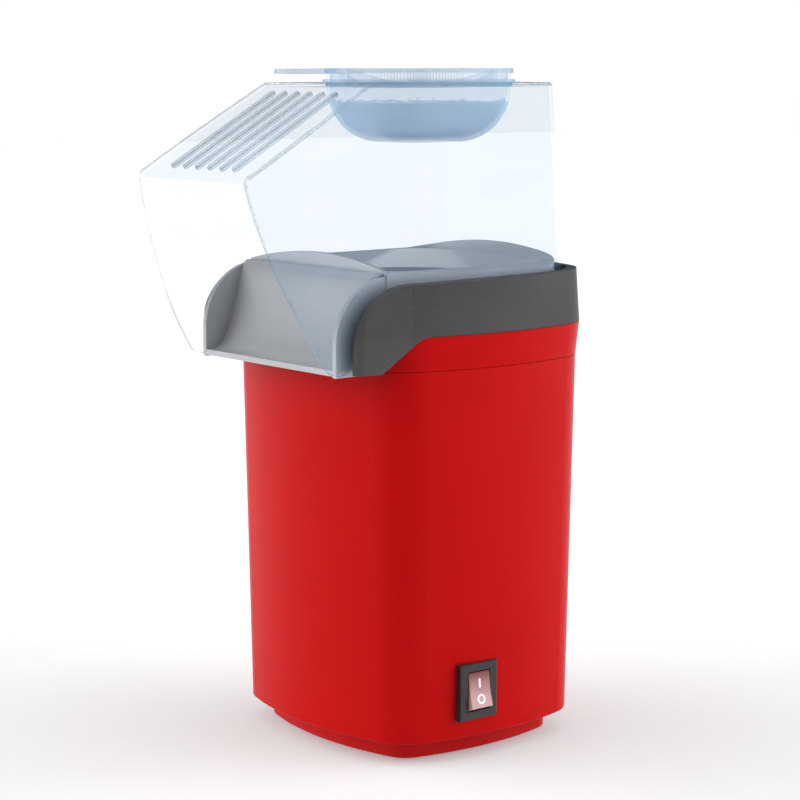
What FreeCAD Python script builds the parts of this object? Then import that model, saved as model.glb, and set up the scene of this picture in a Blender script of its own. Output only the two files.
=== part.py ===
import FreeCAD, Part
import math
import os

vec = FreeCAD.Vector
up = vec(0, 0, 1)

# Hot-air popcorn maker, millimetres, +Z up. The pieces are modelled about the vertical axis of the
# popping chamber, with the chute towards -Y and the switch on the +X side. save() then moves them so
# that the origin is the middle of the whole object's footprint, on the table.

# Housing: a square tube with bowed sides that widens upwards
housing_bottom_z = 9.9
housing_top_z = 170.4
housing_half_x = 64.2
housing_half_y = 59.8
housing_corner_r = 21.0
side_bow_r = 150.0
draft_per_mm = 0.020
housing_wall = 2.5
housing_edge_round = 0.8

# Red band above the seam
band_height = 14.9
band_flare = 1.6
band_wall = 2.5
band_cut_low_y = -60.5
band_cut_high_y = -41.2
seam_gap = 0.2

# Dark collar
collar_height = 21.7
collar_rear_rise = 1.5
collar_lean = 1.4
collar_wall = 2.5
collar_lip_depth = 5.0
collar_lip_wall = 1.8
collar_lip_root = 2.0
deck_top_z = 200.6
deck_thickness = 2.4
arm_join_y = -47.0
arm_front_y = -71.8
arm_outer_x = 57.3
arm_corner_r = 4.0
arm_inner_front_x = 52.7
arm_inner_rear_x = 54.6
arm_arc_r = 27.0
front_deck_thickness = 2.4
front_deck_overhang = 0.4
riser_y = -46.4

# Funnel and chute
funnel_wall = 2.2
funnel_rear_y = 50.0
funnel_half_x = 53.9
funnel_corner_r = 20.0
funnel_flange = 2.4
rim_crown_r = 211.0
rim_crown_z = 217.0
throat_r = 42.0
throat_z = 204.0
chute_half_x = 48.2
chute_front_y = -77.0
chute_bottom_z = 169.5
chute_rim_r = 28.0
chute_wall_top_z = 210.0
chute_gap = 0.3
crest_y = -50.5
crest_z = 211.0
slide_floor = 2.4

# Clear cover
cover_wall = 1.8
cover_top_z = 289.0
cover_top_half_x = 37.5
cover_top_rear_y = 53.2
cover_top_corner_r = 3.0
cover_top_front_y = -50.8
cover_nose_y = -115.2
cover_nose_z = 252.0
cover_tongue_y = -77.5
cover_tongue_z = 170.6
cover_seat_gap = 0.5
cover_rim_gap = 0.6
cover_collar_gap = 0.6
pocket_margin = 2.2
cover_edge_round = 1.6
vent_count = 6
vent_pitch = 8.9
vent_width = 3.0
vent_margin = 6.5

# Measuring cup
cup_half_x = 31.0
cup_half_y = 37.6
cup_corner_r = 20.0
cup_centre_y = 6.5
cup_rim_above_cover = 6.0
cup_depth = 32.0
cup_straight = 8.0
cup_floor_share = 0.44
cup_wall = 1.5
cup_rim_thickness = 2.0
cup_rim_lip = 1.0
cup_step_width = 1.8
cup_hole_gap = 0.5
handle_tip_y = -70.0
handle_width = 17.0

# Plinth, feet and the screws that hold the plinth
foot_height = 1.0
foot_r = 6.5
foot_socket = 1.2
foot_x = 36.0
foot_y = 31.0
plinth_inset = 9.4
plinth_wall = 2.3
plinth_floor = 2.4
intake_slot_width = 3.2
intake_slot_pitch = 7.0
intake_slot_rows = 7
column_x = 24.0
column_y = 41.0
column_r = 4.2
column_top_z = 48.0
column_rib = 2.0
screw_pad_height = 1.4
screw_pad_r = 5.2
base_screw_r = 1.5
base_screw_length = 14.0
head_sink = 0.2
screw_clearance = 0.2
screw_head_r = 3.0
screw_head_height = 1.8

# Popping chamber
chamber_r = 39.0
chamber_wall = 1.0
chamber_floor_z = 128.0
chamber_flange_r = 45.6
chamber_flange = 1.2
gasket_thickness = 1.0
louvre_count = 20
louvre_height = 9.0
louvre_width = 1.8
ear_circle_r = 49.5
ear_r = 5.0
chamber_screw_r = 1.5
chamber_screw_length = 5.0

# Heater
shroud_r = 43.4
shroud_wall = 0.8
shroud_bottom_z = 60.5
liner_r = 36.0
liner_wall = 0.7
liner_bottom_z = 84.0
liner_top_z = 124.0
coil_r = 27.0
coil_wire_r = 0.7
coil_turns = 7
coil_bottom_z = 91.0
coil_pitch = 4.2
mica_thickness = 0.8
mica_foot_height = 3.5
mica_above_coil = 2.0
fuse_r = 1.7
fuse_length = 11.0
fuse_lead_r = 0.5
fuse_span = 28.0
fuse_y = 8.0

# Motor and fan
motor_r = 18.0
motor_bottom_z = 16.0
motor_top_z = 57.2
motor_can_wall = 1.2
end_cap_height = 4.0
motor_boss_r = 5.0
motor_boss_height = 3.6
magnet_thickness = 3.2
armature_r = 12.8
armature_half_height = 11.0
shaft_r = 1.6
shaft_bottom_z = 12.8
shaft_top_z = 76.5
running_gap = 0.04
press_gap = 0.01
bracket_thickness = 1.5
bracket_ring_width = 4.0
bracket_ring_r = 43.0
bracket_screw_circle_r = 41.0
grommet_r = 3.0
fan_r = 39.0
fan_bottom_z = 65.0
fan_height = 12.0
fan_blades = 10
fan_hub_r = 7.0
fan_plate = 1.2
fan_blade_thickness = 1.2

# Switch on the +X side
switch_y = -13.7
switch_z = 30.5
switch_width = 20.6
switch_height = 24.8
switch_proud = 1.9
bezel_skirt = 2.6
switch_body_depth = 15.0
switch_body_width = 16.4
switch_body_height = 20.4
switch_fit_gap = 0.2
bezel_seat_gap = 0.05
switch_body_wall = 1.4
rocker_r = 8.4
rocker_width = 11.4
rocker_window_gap = 0.4
rocker_tilt = 10.0
rocker_crest = 2.8
rocker_end = 3.3
rocker_pin_r = 1.2

# Cord gland in the rear wall
gland_z = 24.0
gland_bore_r = 3.6
gland_body_r = 6.6
gland_flange_r = 9.0
gland_flange = 2.0
gland_inner_length = 9.0
gland_nut = 2.5
gland_nut_r = 8.6
gland_seat_gap = 0.3

wire_r = 1.0

# Heights and places that follow from the sizes above
band_top_z = housing_top_z + band_height
collar_top_z = band_top_z + collar_height
collar_rear_z = collar_top_z + collar_rear_rise
deck_bottom_z = deck_top_z - deck_thickness
cup_rim_z = cover_top_z + cup_rim_above_cover
cup_bottom_z = cup_rim_z - cup_depth
flange_top_z = deck_top_z + funnel_flange
cover_seat_z = flange_top_z + cover_seat_gap
gasket_bottom_z = deck_bottom_z - gasket_thickness
chamber_top_z = gasket_bottom_z
shroud_top_z = chamber_top_z - chamber_flange
column_foot_z = foot_height + plinth_floor + screw_pad_height + seam_gap
base_head_z = foot_height + screw_head_height + head_sink
front_reach = -cover_nose_y
rear_reach = housing_half_y + draft_per_mm * (housing_top_z - housing_bottom_z) + band_flare
shift = vec(0, (front_reach - rear_reach) / 2.0, 0)


def save(name, shape):
    shape = shape.copy()
    shape.translate(shift)
    shape.exportStep("parts/" + name + ".step")


def line(a, b):
    return Part.LineSegment(a, b).toShape()


def arc(a, b, c):
    return Part.Arc(a, b, c).toShape()


def cylinder(r, height, base, axis=up):
    return Part.makeCylinder(r, height, base, axis)


def tube(r_out, r_in, z0, z1):
    """Upright tube about the chamber's axis."""
    outer = cylinder(r_out, z1 - z0, vec(0, 0, z0))
    return outer.cut(cylinder(r_in, z1 - z0 + 2, vec(0, 0, z0 - 1)))


def block(x0, x1, y0, y1, z0, z1):
    return Part.makeBox(x1 - x0, y1 - y0, z1 - z0, vec(x0, y0, z0))


def tangent_corner(half_x, half_y, r, bow_r):
    """Centre of a corner arc that is tangent to two bowed sides, and its two tangent points."""
    side_x = half_x - bow_r
    side_y = half_y - bow_r
    reach = bow_r - r
    slope = side_x / side_y
    offset = (side_y ** 2 - side_x ** 2) / (2 * side_y)
    a = 1 + slope ** 2
    b = slope * offset - side_x
    c = side_x ** 2 + offset ** 2 - reach ** 2
    x = (-b + math.sqrt(b * b - a * c)) / a
    centre = vec(x, slope * x + offset, 0)
    on_side = vec(side_x, 0, 0) + (centre - vec(side_x, 0, 0)) * (bow_r / reach)
    on_rear = vec(0, side_y, 0) + (centre - vec(0, side_y, 0)) * (bow_r / reach)
    middle = (on_side + on_rear) * 0.5 - centre
    middle.normalize()
    return on_side, centre + middle * r, on_rear


def bowed_outline(half_x, half_y, r, bow_r, z):
    """Closed wire of four bowed sides and four tangent corners."""
    on_side, on_corner, on_rear = tangent_corner(half_x, half_y, r, bow_r)

    def at(p, sx, sy):
        return vec(sx * p.x, sy * p.y, z)

    edges = []
    edges.append(arc(at(on_side, 1, -1), vec(half_x, 0, z), at(on_side, 1, 1)))
    edges.append(arc(at(on_side, 1, 1), at(on_corner, 1, 1), at(on_rear, 1, 1)))
    edges.append(arc(at(on_rear, 1, 1), vec(0, half_y, z), at(on_rear, -1, 1)))
    edges.append(arc(at(on_rear, -1, 1), at(on_corner, -1, 1), at(on_side, -1, 1)))
    edges.append(arc(at(on_side, -1, 1), vec(-half_x, 0, z), at(on_side, -1, -1)))
    edges.append(arc(at(on_side, -1, -1), at(on_corner, -1, -1), at(on_rear, -1, -1)))
    edges.append(arc(at(on_rear, -1, -1), vec(0, -half_y, z), at(on_rear, 1, -1)))
    edges.append(arc(at(on_rear, 1, -1), at(on_corner, 1, -1), at(on_side, 1, -1)))
    return Part.Wire(edges)


def housing_outline(z, inset, extra=0.0):
    grow = draft_per_mm * (z - housing_bottom_z) + extra - inset
    return bowed_outline(housing_half_x + grow, housing_half_y + grow, housing_corner_r + grow,
                         side_bow_r + grow, z)


def housing_solid(z0, z1, inset):
    return Part.makeLoft([housing_outline(z0, inset), housing_outline(z1, inset)], True, True)


def band_growth(z):
    """How far the band and the collar stand out from the housing's own taper at a height."""
    taper = draft_per_mm * (z - housing_top_z)
    if z <= band_top_z:
        return band_flare * (z - housing_top_z) / band_height - taper
    return band_flare - collar_lean * (z - band_top_z) / collar_height - taper


def band_solid(z0, z1, inset):
    wires = [housing_outline(z, inset, band_growth(z)) for z in (z0, z1)]
    return Part.makeLoft(wires, True, True)


def rounded_rectangle(half_x, half_y, r, z, centre_y=0.0):
    k = r * (1 - math.sqrt(0.5))
    corners = []
    for sx, sy in ((1, 1), (-1, 1), (-1, -1), (1, -1)):
        cy = centre_y + sy * (half_y - r)
        a = vec(sx * half_x, cy, z)
        m = vec(sx * (half_x - k), centre_y + sy * (half_y - k), z)
        b = vec(sx * (half_x - r), centre_y + sy * half_y, z)
        corners.append((a, m, b) if sx * sy > 0 else (b, m, a))
    edges = []
    for i, corner in enumerate(corners):
        edges.append(arc(*corner))
        edges.append(line(corner[2], corners[(i + 1) % 4][0]))
    return Part.Wire(edges)


def prism(points, direction):
    """Solid from a flat polygon. A point followed by a tuple is an arc through that tuple's point."""
    edges = []
    here = points[0]
    i = 1
    closed = points + [points[0]]
    while i < len(closed):
        step = closed[i]
        if isinstance(step, tuple):
            edges.append(arc(here, step[0], closed[i + 1]))
            here = closed[i + 1]
            i += 2
        else:
            edges.append(line(here, step))
            here = step
            i += 1
    return Part.Face(Part.Wire(edges)).extrude(direction)


def side_prism(profile, half_x):
    """Solid from a side view given as (y, z) points, between -half_x and +half_x."""
    points = []
    for p in profile:
        if isinstance(p[0], tuple):
            points.append((vec(-half_x, p[0][0], p[0][1]),))
        else:
            points.append(vec(-half_x, p[0], p[1]))
    return prism(points, vec(2 * half_x, 0, 0))


def quarter_point(centre, r, angle):
    a = math.radians(angle)
    return (centre[0] + r * math.cos(a), centre[1] + r * math.sin(a))


def screw(x, y, z_head, head_up, r, length, head_r, head_height):
    """Pan head screw. The head's underside is at z_head, and the shank runs away from the head."""
    way = -1 if head_up else 1
    head = cylinder(head_r, head_height, vec(x, y, z_head), vec(0, 0, -way))
    shank = cylinder(r, length, vec(x, y, z_head), vec(0, 0, way))
    top = z_head - way * head_height
    slot_half = head_r * 0.75
    slot_depth = head_height * 0.45
    slot_width = head_r * 0.12
    z0, z1 = sorted((top, top + way * slot_depth))
    body = head.fuse(shank)
    body = body.cut(block(x - slot_half, x + slot_half, y - slot_width, y + slot_width, z0, z1))
    return body.cut(block(x - slot_width, x + slot_width, y - slot_half, y + slot_half, z0, z1))


def four_ways(x, y):
    return [(sx * x, sy * y) for sx, sy in ((1, 1), (-1, 1), (-1, -1), (1, -1))]


def on_circle(r, count, start=0.0):
    angles = [math.radians(start + 360.0 * i / count) for i in range(count)]
    return [(r * math.cos(a), r * math.sin(a)) for a in angles]


def side_face_x(y, z):
    """Where the housing's outer +X face stands at a place on it."""
    grow = draft_per_mm * (z - housing_bottom_z)
    bow = side_bow_r + grow
    return housing_half_x + grow - bow + math.sqrt(bow ** 2 - y ** 2)


def chute_profile(grow):
    """Side view of the chute's walls, grown by a clearance."""
    centre = (chute_front_y + chute_rim_r, chute_wall_top_z - chute_rim_r)
    r = chute_rim_r + grow
    middle = quarter_point(centre, r, 135)
    return [(chute_front_y - grow, chute_bottom_z - grow),
            (chute_front_y - grow, centre[1]), (middle,), (centre[0], centre[1] + r)]


def slide_curve(drop):
    """Top of the slide from the crest down to the lip, lowered by drop. It starts level, runs steep
    and flares out again at the lip."""
    poles = [(crest_y, crest_z), (crest_y - 4.5, crest_z - 0.2), (crest_y - 8.0, crest_z - 6.5),
             (crest_y - 10.5, crest_z - 17.0), (crest_y - 14.5, crest_z - 29.0),
             (crest_y - 19.0, crest_z - 36.5), (chute_front_y, chute_bottom_z + 3.0)]
    lift = vec(0, drop * 0.92, -drop * 0.39)
    points = [vec(0, y, z) + lift for y, z in poles]
    points[-1] = vec(0, chute_front_y, chute_bottom_z + 3.0 - drop)
    curve = Part.BSplineCurve()
    curve.interpolate(points)
    return curve.toShape()


def below_slide(drop, z_low, y_rear):
    """Solid under the slide surface, used to shape the slide and the parts beneath it."""
    edge = slide_curve(drop)
    first = edge.firstVertex().Point
    last = edge.lastVertex().Point
    a = vec(0, last.y, z_low)
    b = vec(0, y_rear, z_low)
    c = vec(0, y_rear, first.z)
    edges = [edge, line(last, a), line(a, b), line(b, c)]
    if c.distanceToPoint(first) > 0.001:
        edges.append(line(c, first))
    face = Part.Face(Part.Wire(edges))
    face.translate(vec(-100, 0, 0))
    return face.extrude(vec(200, 0, 0))


def rim_outline(offset, z):
    """Plan of the funnel and chute, offset outwards: straight by the chute, widest past the middle."""
    side_x = chute_half_x + offset
    wide_x = funnel_half_x + offset
    rear = funnel_rear_y + offset
    r = funnel_corner_r + offset
    k = r * math.sqrt(0.5)
    front_y = chute_front_y - offset
    corner_y = rear - r
    step_y = crest_y + 5.0
    right = [vec(side_x, front_y, z), vec(side_x, crest_y - 8.0, z), vec(wide_x - 2.8, step_y + 18.0, z),
             vec(wide_x, corner_y - 14.0, z), vec(wide_x, corner_y, z)]
    curve = Part.BSplineCurve()
    curve.interpolate(right[1:], InitialTangent=vec(0.06, 1, 0), FinalTangent=vec(0, 1, 0))
    left = [vec(-p.x, p.y, p.z) for p in right]
    mirror = Part.BSplineCurve()
    mirror.interpolate(left[:0:-1], InitialTangent=vec(0, -1, 0), FinalTangent=vec(0.06, -1, 0))
    edges = [line(right[0], right[1]), curve.toShape()]
    edges.append(arc(right[-1], vec(wide_x - r + k, corner_y + k, z), vec(wide_x - r, rear, z)))
    edges.append(line(vec(wide_x - r, rear, z), vec(r - wide_x, rear, z)))
    edges.append(arc(vec(r - wide_x, rear, z), vec(r - wide_x - k, corner_y + k, z), left[-1]))
    edges.append(mirror.toShape())
    edges.append(line(left[1], left[0]))
    edges.append(line(left[0], right[0]))
    return Part.Wire(edges)


def rim_solid(offset, z0, z1):
    return Part.Face(rim_outline(offset, z0)).extrude(vec(0, 0, z1 - z0))


def make_housing():
    outer = housing_solid(housing_bottom_z, housing_top_z, 0.0)
    low_edges = [e for e in outer.Edges if e.BoundBox.ZMax < housing_bottom_z + 0.01]
    outer = outer.makeFillet(housing_edge_round, low_edges)
    inner = housing_solid(housing_bottom_z - 1, housing_top_z + 1, housing_wall)
    shell = outer.cut(inner)
    plinth_top = housing_bottom_z + plinth_floor + seam_gap
    for x, y in four_ways(column_x, column_y):
        column = cylinder(column_r, column_top_z - column_foot_z, vec(x, y, column_foot_z))
        sy = 1 if y > 0 else -1
        y0, y1 = sorted((y, sy * (housing_half_y - housing_wall / 2.0)))
        rib = block(x - column_rib / 2.0, x + column_rib / 2.0, y0, y1, plinth_top, column_top_z)
        shell = shell.fuse(column.fuse(rib).common(housing_solid(1, housing_top_z, housing_wall / 2.0)))
        shell = shell.cut(cylinder(base_screw_r + press_gap, base_screw_length, vec(x, y, column_foot_z - 1)))
    face_x = side_face_x(switch_y, switch_z)
    half_w = switch_body_width / 2.0 + switch_fit_gap
    half_h = switch_body_height / 2.0 + switch_fit_gap
    shell = shell.cut(block(face_x - 12, face_x + 8, switch_y - half_w, switch_y + half_w,
                            switch_z - half_h, switch_z + half_h))
    rear = vec(0, housing_half_y - 12, gland_z)
    return shell.cut(cylinder(gland_body_r + switch_fit_gap, 24, rear, vec(0, 1, 0)))


def band_cutter(gap):
    """Space in front of the diagonal joint between the band and the collar, in side view."""
    return side_prism([(arm_front_y - 10, housing_top_z - 3),
                       (band_cut_low_y + gap, housing_top_z - 3), (band_cut_low_y + gap, housing_top_z),
                       (band_cut_high_y - 5.0 + gap, band_top_z - 3.4),
                       ((band_cut_high_y - 1.6 + gap, band_top_z - 1.0),),
                       (band_cut_high_y + 3.5 + gap, band_top_z),
                       (band_cut_high_y + 3.5 + gap, band_top_z + 3),
                       (arm_front_y - 10, band_top_z + 3)], 90)


def make_band():
    z0 = housing_top_z + seam_gap
    z1 = band_top_z - seam_gap
    ring = band_solid(z0, z1, 0.0).cut(band_solid(z0, z1, band_wall))
    half = chute_half_x + seam_gap
    front = block(-half, half, -housing_half_y - 20, band_cut_high_y, z0 - 1, z1 + 1)
    return ring.cut(band_cutter(seam_gap)).cut(front)


def collar_plan(z):
    """Outer plan of the collar: the housing's sides and rear, with straight arms in front."""
    grow = draft_per_mm * (z - housing_bottom_z) + band_growth(z)
    half_x = housing_half_x + grow
    half_y = housing_half_y + grow
    bow = side_bow_r + grow
    on_side, on_corner, on_rear = tangent_corner(half_x, half_y, housing_corner_r + grow, bow)
    join_x = half_x - bow + math.sqrt(bow ** 2 - arm_join_y ** 2)
    front_x = arm_outer_x + grow - band_flare - draft_per_mm * (housing_top_z - housing_bottom_z)
    y_mid = (arm_join_y + on_side.y) / 2.0
    mid_x = half_x - bow + math.sqrt(bow ** 2 - y_mid ** 2)
    # the arm's front corner is round, tangent to the front and to the arm's side
    lean = (join_x - front_x) / (arm_join_y - arm_front_y)
    turn = math.atan(lean)
    r = arm_corner_r
    cx = front_x + lean * r - r / math.cos(turn)
    cy = arm_front_y + r
    side = vec(cx + r * math.cos(turn), cy - r * math.sin(turn), z)
    half_turn = (turn + math.pi / 2) / 2
    middle = vec(cx + r * math.cos(half_turn), cy - r * math.sin(half_turn), z)
    front = vec(cx, arm_front_y, z)
    join = vec(join_x, arm_join_y, z)
    bend = vec(mid_x, y_mid, z)
    p_side = vec(on_side.x, on_side.y, z)
    p_corner = vec(on_corner.x, on_corner.y, z)
    p_rear = vec(on_rear.x, on_rear.y, z)

    def left(p):
        return vec(-p.x, p.y, p.z)

    edges = [arc(front, middle, side), line(side, join), arc(join, bend, p_side)]
    edges.append(arc(p_side, p_corner, p_rear))
    edges.append(arc(p_rear, vec(0, half_y, z), left(p_rear)))
    edges.append(arc(left(p_rear), left(p_corner), left(p_side)))
    edges += [arc(left(p_side), left(bend), left(join)), line(left(join), left(side))]
    edges.append(arc(left(side), left(middle), left(front)))
    edges.append(line(left(front), front))
    return Part.Wire(edges)


def deck_front_y():
    """Front edge of the collar's low deck between the arms, just ahead of the housing."""
    return -(housing_half_y + draft_per_mm * (housing_top_z - housing_bottom_z)) - front_deck_overhang


def collar_outer():
    """Full outer body of the collar before its insides are cut away."""
    low = Part.makeLoft([collar_plan(housing_top_z + seam_gap), collar_plan(band_top_z)], True, True)
    high = Part.makeLoft([collar_plan(band_top_z), collar_plan(collar_rear_z + 1)], True, True)
    centre = (arm_front_y + arm_arc_r, collar_top_z - arm_arc_r)
    middle = quarter_point(centre, arm_arc_r, 135)
    profile = [(arm_front_y - 2, centre[1]), (arm_front_y, centre[1]), (middle,),
               (centre[0], collar_top_z), (80, collar_rear_z + 0.6), (80, band_top_z),
               (arm_front_y - 2, band_top_z)]
    if centre[1] < band_top_z:
        profile = [(arm_front_y, centre[1]), (middle,), (centre[0], collar_top_z),
                   (80, collar_rear_z + 0.6), (80, housing_top_z), (arm_front_y, housing_top_z)]
    return low.fuse(high).common(side_prism(profile, 90)).removeSplitter()


def make_collar():
    outer = collar_outer()
    z_low = housing_top_z + seam_gap
    # the front of the collar reaches down to the seam, the rest starts above the band
    above_band = block(-90, 90, arm_front_y - 5, 90, band_top_z, collar_rear_z + 5)
    outer = outer.common(above_band.fuse(band_cutter(0.0)))
    # hollow under the deck
    under = band_solid(z_low - 1, band_top_z, collar_wall).fuse(
        band_solid(band_top_z, deck_bottom_z, collar_wall))
    under = under.cut(block(-90, 90, -90, riser_y, z_low - 2, z_low + front_deck_thickness))
    under = under.cut(block(-90, 90, -90, riser_y - deck_thickness, z_low - 2, deck_top_z + 5))
    collar = outer.cut(under)
    # room for the cover, the funnel and the chute
    pocket_z = deck_top_z
    pocket_gap = cover_wall + cover_rim_gap + cover_collar_gap + pocket_margin
    pocket = rim_solid(pocket_gap, pocket_z, collar_rear_z + 20)
    pocket = pocket.common(block(-90, 90, riser_y, 90, pocket_z, collar_rear_z + 20))
    collar = collar.cut(pocket)
    well_z = z_low + front_deck_thickness
    well_front_y = arm_front_y - 5
    well_rear_y = riser_y - deck_thickness
    well = prism([vec(-arm_inner_front_x, well_front_y, well_z), vec(arm_inner_front_x, well_front_y, well_z),
                  vec(arm_inner_rear_x, well_rear_y, well_z), vec(-arm_inner_rear_x, well_rear_y, well_z)],
                 vec(0, 0, 60))
    well = well.fuse(block(-arm_inner_rear_x, arm_inner_rear_x, riser_y - deck_thickness - 1, riser_y + 1,
                           deck_top_z, collar_rear_z + 20))
    collar = collar.cut(well)
    # between the arms nothing stands in front of the housing
    ahead = block(-arm_inner_front_x, arm_inner_front_x, arm_front_y - 5, deck_front_y(),
                  z_low - 2, well_z + 1)
    collar = collar.cut(ahead)
    # apron that closes the gap between the housing's front and the slide
    apron = band_solid(z_low, band_top_z, 0.0).cut(band_solid(z_low, band_top_z, collar_wall))
    apron_half = chute_half_x - funnel_wall - chute_gap
    apron = apron.common(block(-apron_half, apron_half, -90, -40, z_low, band_top_z))
    apron = apron.common(below_slide(slide_floor + 2 * chute_gap, chute_bottom_z - 5, riser_y))
    collar = collar.fuse(apron)
    # throat, locating lip inside the band and screw holes
    collar = collar.cut(cylinder(throat_r + 0.6, 30, vec(0, 0, deck_bottom_z - 5)))
    lip_top = band_top_z + collar_lip_root
    lip_in = band_wall + seam_gap + collar_lip_wall
    lip = band_solid(band_top_z - collar_lip_depth, lip_top, band_wall + seam_gap)
    lip = lip.fuse(band_solid(band_top_z, lip_top, collar_wall / 2.0))
    lip = lip.cut(band_solid(band_top_z - collar_lip_depth - 1, lip_top + 1, lip_in))
    lip = lip.common(block(-90, 90, band_cut_high_y + 6, 90, 0, 300))
    collar = collar.fuse(lip)
    for x, y in on_circle(ear_circle_r, 4, 45):
        boss = cylinder(ear_r - 1.2, chamber_screw_length, vec(x, y, gasket_bottom_z))
        under_deck = cylinder(80, deck_top_z - gasket_bottom_z, vec(0, 0, gasket_bottom_z))
        collar = collar.fuse(boss.common(under_deck))
        hole_top = shroud_top_z - shroud_wall + chamber_screw_length + 0.1
        collar = collar.cut(cylinder(chamber_screw_r + press_gap, hole_top - gasket_bottom_z + 1,
                                     vec(x, y, gasket_bottom_z - 1)))
    return collar.removeSplitter()


def rim_crown():
    """Everything under the funnel's crowned rim: level at the sides, higher along the middle."""
    drop = rim_crown_r - rim_crown_z
    roof = cylinder(rim_crown_r, 300, vec(0, -150, -drop), vec(0, 1, 0))
    return roof.common(block(-100, 100, -150, 150, 100, rim_crown_z + 1))


def make_funnel_chute():
    wall = funnel_wall
    # bowl behind the crest
    bowl = rim_solid(0.0, flange_top_z - 1, rim_crown_z + 1).common(rim_crown())
    bowl = bowl.common(block(-90, 90, crest_y, 90, 100, 300))
    flange = rim_solid(cover_wall + cover_rim_gap + 1.4, deck_top_z + 0.1, flange_top_z)
    flange = flange.common(block(-90, 90, riser_y + 0.4, 90, 100, 300))
    bowl = bowl.fuse(flange)
    inner_top = Part.Face(rounded_rectangle(chute_half_x - wall, (funnel_rear_y - crest_y) / 2.0 - wall,
                                            funnel_corner_r, crest_z + 0.3,
                                            (funnel_rear_y + crest_y) / 2.0)).OuterWire
    ring = rounded_rectangle(throat_r - 0.01, throat_r - 0.01, throat_r - 0.05, throat_z)
    dish = Part.makeLoft([ring, inner_top], True, True)
    above = rim_solid(-wall, crest_z + 0.2, rim_crown_z + 3).common(
        block(-90, 90, crest_y + wall, 90, 100, 300))
    spigot = cylinder(throat_r - 0.2, flange_top_z - gasket_bottom_z, vec(0, 0, gasket_bottom_z + 0.3))
    bowl = bowl.fuse(spigot)
    bore_height = throat_z - gasket_bottom_z
    bore = Part.makeCone(chamber_r + 0.2, throat_r - wall, bore_height, vec(0, 0, gasket_bottom_z))
    bowl = bowl.cut(bore).cut(cylinder(throat_r - wall, 5, vec(0, 0, throat_z - 0.01)))
    bowl = bowl.cut(dish).cut(above)
    # chute: side walls and slide in front of the crest
    rear_y = crest_y + wall
    sides = side_prism(chute_profile(0.0) + [(rear_y, chute_wall_top_z), (rear_y, chute_bottom_z)],
                       chute_half_x)
    hollow = sides.common(block(-chute_half_x + wall, chute_half_x - wall, -100, 0, 0, 300))
    floor = below_slide(0.0, chute_bottom_z, rear_y)
    floor = floor.cut(below_slide(slide_floor, chute_bottom_z - 5, rear_y))
    floor = floor.common(block(-chute_half_x + wall, chute_half_x - wall, chute_front_y, rear_y, 0, crest_z))
    walls = sides.cut(hollow)
    # the side walls stop above the collar's front deck
    behind = block(-90, 90, deck_front_y() - chute_gap, 0, 0, housing_top_z + seam_gap + front_deck_thickness
                   + chute_gap)
    riser = block(-90, 90, riser_y - deck_thickness - chute_gap, 0, 0, deck_top_z + 0.1)
    behind = behind.fuse(riser)
    chute = walls.cut(behind).fuse(floor.cut(behind))
    return bowl.fuse(chute).removeSplitter()


def cover_outline(level, inset):
    """Plan outline of the cover at one level, from its half widths along the side."""
    z, side, rear_y, rear_r = level
    right = [vec(x - inset, y, z) for y, x in side]
    end_x = right[-1].x
    r = rear_r - inset
    rear = rear_y - inset
    k = r * (1 - math.sqrt(0.5))
    curve = Part.BSplineCurve()
    curve.interpolate(right, FinalTangent=vec(0, 1, 0))
    mirror = Part.BSplineCurve()
    mirror.interpolate([vec(-p.x, p.y, z) for p in reversed(right)], InitialTangent=vec(0, -1, 0))
    edges = [curve.toShape()]
    edges.append(arc(right[-1], vec(end_x - k, rear - k, z), vec(end_x - r, rear, z)))
    edges.append(line(vec(end_x - r, rear, z), vec(r - end_x, rear, z)))
    edges.append(arc(vec(r - end_x, rear, z), vec(k - end_x, rear - k, z), vec(-end_x, right[-1].y, z)))
    edges.append(mirror.toShape())
    edges.append(line(vec(-right[0].x, right[0].y, z), right[0]))
    return Part.Wire(edges)


def cover_levels():
    """Half widths of the cover at the tongue's level, at the collar's top and at the cover's top."""
    clear = cover_rim_gap + cover_wall
    seat_wide = funnel_half_x + clear + 1.3
    seat_front = chute_half_x + clear + 0.4
    top = cover_top_half_x
    front_y = cover_nose_y - 1.0
    corner_y = funnel_rear_y - funnel_corner_r
    seat_rear = funnel_rear_y + clear
    roof_end = cover_top_rear_y - cover_top_corner_r
    low = (cover_tongue_z - 1, [(front_y, top + 9.0), (cover_tongue_y, seat_front - 0.2),
                                (crest_y, seat_front + 2.2), (crest_y + 30, seat_wide - 1.2),
                                (corner_y - 20, seat_wide + 0.8), (corner_y, seat_wide + 0.8)],
           seat_rear + 0.4, seat_rear + 0.4 - corner_y)
    seat = (deck_top_z + 4, [(front_y, top + 5.5), (cover_tongue_y, seat_front - 1.2),
                             (crest_y, seat_front + 1.8), (crest_y + 30, seat_wide - 1.6),
                             (corner_y - 20, seat_wide), (corner_y, seat_wide)],
            seat_rear, seat_rear - corner_y)
    roof = (cover_top_z, [(front_y, top - 0.6), (cover_tongue_y, top - 0.2), (crest_y, top),
                          (crest_y + 30, top), (roof_end - 20, top), (roof_end, top)],
            cover_top_rear_y, cover_top_corner_r)
    return low, seat, roof


def cover_body(inset):
    wires = [cover_outline(level, inset) for level in cover_levels()]
    return Part.makeLoft(wires, True, True)


def slope_direction():
    """Unit vector down the cover's sloping panel, and the panel's outward normal."""
    down = vec(0, cover_nose_y - cover_top_front_y, cover_nose_z - cover_top_z)
    down.normalize()
    return down, vec(0, down.z, -down.y)


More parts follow.
